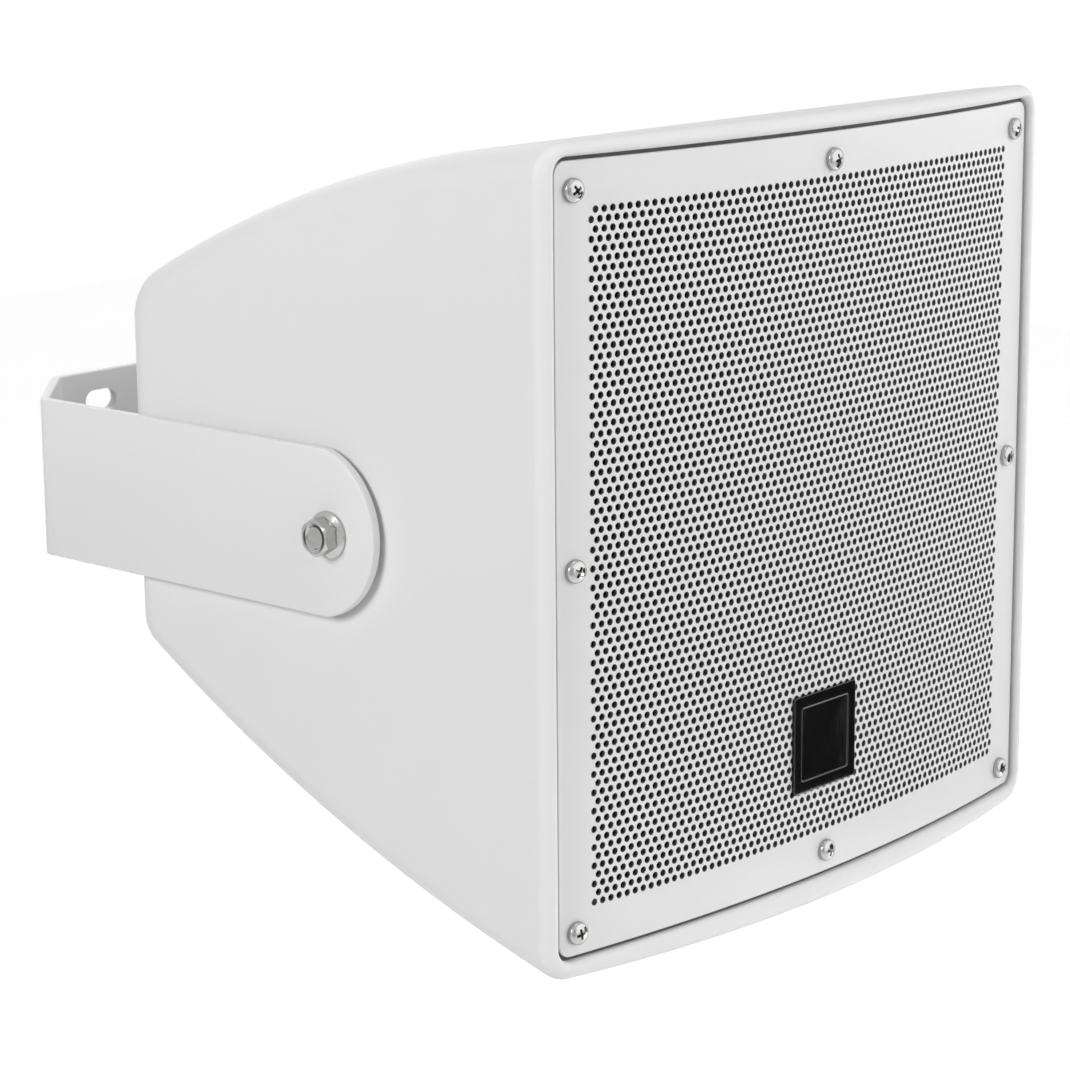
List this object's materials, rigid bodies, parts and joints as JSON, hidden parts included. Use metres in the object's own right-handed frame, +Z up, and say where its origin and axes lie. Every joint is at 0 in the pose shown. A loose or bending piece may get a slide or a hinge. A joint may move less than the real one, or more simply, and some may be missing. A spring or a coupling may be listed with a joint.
{
  "type": "outdoor patio speaker",
  "caption": "Square outdoor loudspeaker with a bowed perforated grille on a moulded cabinet that tilts in a U-shaped wall bracket.",
  "frame": {"origin": "centre of the bracket's slot pattern, on the face that lies against the wall", "axes": "+Y into the wall, -Y to the listener, +Z up, +X to the right seen from the front"},
  "size_m": [0.3342, 0.3151, 0.3079],
  "materials": {
    "cabinet_plastic": "fine moulded texture",
    "bracket_paint": "satin powder coat",
    "grille_paint": "satin powder coat on perforated sheet",
    "stainless": "bright stainless",
    "washer_nylon": "dark nylon",
    "insert_brass": "turned",
    "foam": "open-cell foam",
    "badge_gloss": "gloss",
    "baffle_board": "black-stained fibreboard",
    "gasket_rubber": "foamed rubber",
    "basket_paint": "black paint",
    "surround_rubber": "smooth moulded",
    "cone_plastic": "matt",
    "coil_wire": "wound wire on a former",
    "spider_cloth": "impregnated cloth",
    "zinc_steel": "zinc plated",
    "ferrite": "ground ferrite",
    "black_plastic": "moulded",
    "dome_cloth": "coated silk",
    "plate_aluminium": "off-white coat",
    "gland_plastic": "moulded",
    "board_green": "glass-fibre board",
    "copper": "enamelled wire",
    "capacitor_film": "film sleeve",
    "ceramic": "cement"
  },
  "bodies": {
    "bracket": {"bracket": "bracket_paint"},
    "cabinet": {"cabinet": "cabinet_plastic", "bracket_bolts": "stainless", "pivot_washers": "washer_nylon", "pivot_inserts": "insert_brass", "grille": "grille_paint", "grille_foam": "foam", "grille_screws": "stainless", "badge": "badge_gloss", "baffle": "baffle_board", "baffle_gasket": "gasket_rubber", "baffle_screws": "zinc_steel", "woofer_basket": "basket_paint", "woofer_screws": "zinc_steel", "woofer_surround": "surround_rubber", "woofer_gasket": "gasket_rubber", "woofer_spider": "spider_cloth", "motor_top_plate": "zinc_steel", "motor_magnet": "ferrite", "motor_yoke": "zinc_steel", "tweeter_post": "zinc_steel", "tweeter_housing": "black_plastic", "tweeter_motor": "zinc_steel", "tweeter_dome": "dome_cloth", "input_gasket": "gasket_rubber", "input_plate": "plate_aluminium", "input_screws": "stainless", "gland_body": "gland_plastic", "gland_locknut": "gland_plastic", "gland_seal": "gasket_rubber", "gland_cap": "gland_plastic", "board_spacers": "insert_brass", "crossover_board": "board_green", "inductors": "copper", "capacitors": "capacitor_film", "resistor": "ceramic", "terminal_block": "black_plastic"},
    "cone": {"woofer_cone": "cone_plastic", "voice_coil": "coil_wire"}
  },
  "joints": [
    {"name": "tilt", "type": "hinge", "parent": "bracket", "child": "cabinet", "pos_m": [0, -0.2, 0], "axis": [1, 0, 0], "range_deg": [-90, 90]},
    {"name": "cone_travel", "type": "slide", "parent": "cabinet", "child": "cone", "axis": [0, -1, 0], "range_m": [-0.004, 0.004], "stiffness_N_per_m": 2500, "deforming": ["woofer_surround", "woofer_spider"]}
  ]
}
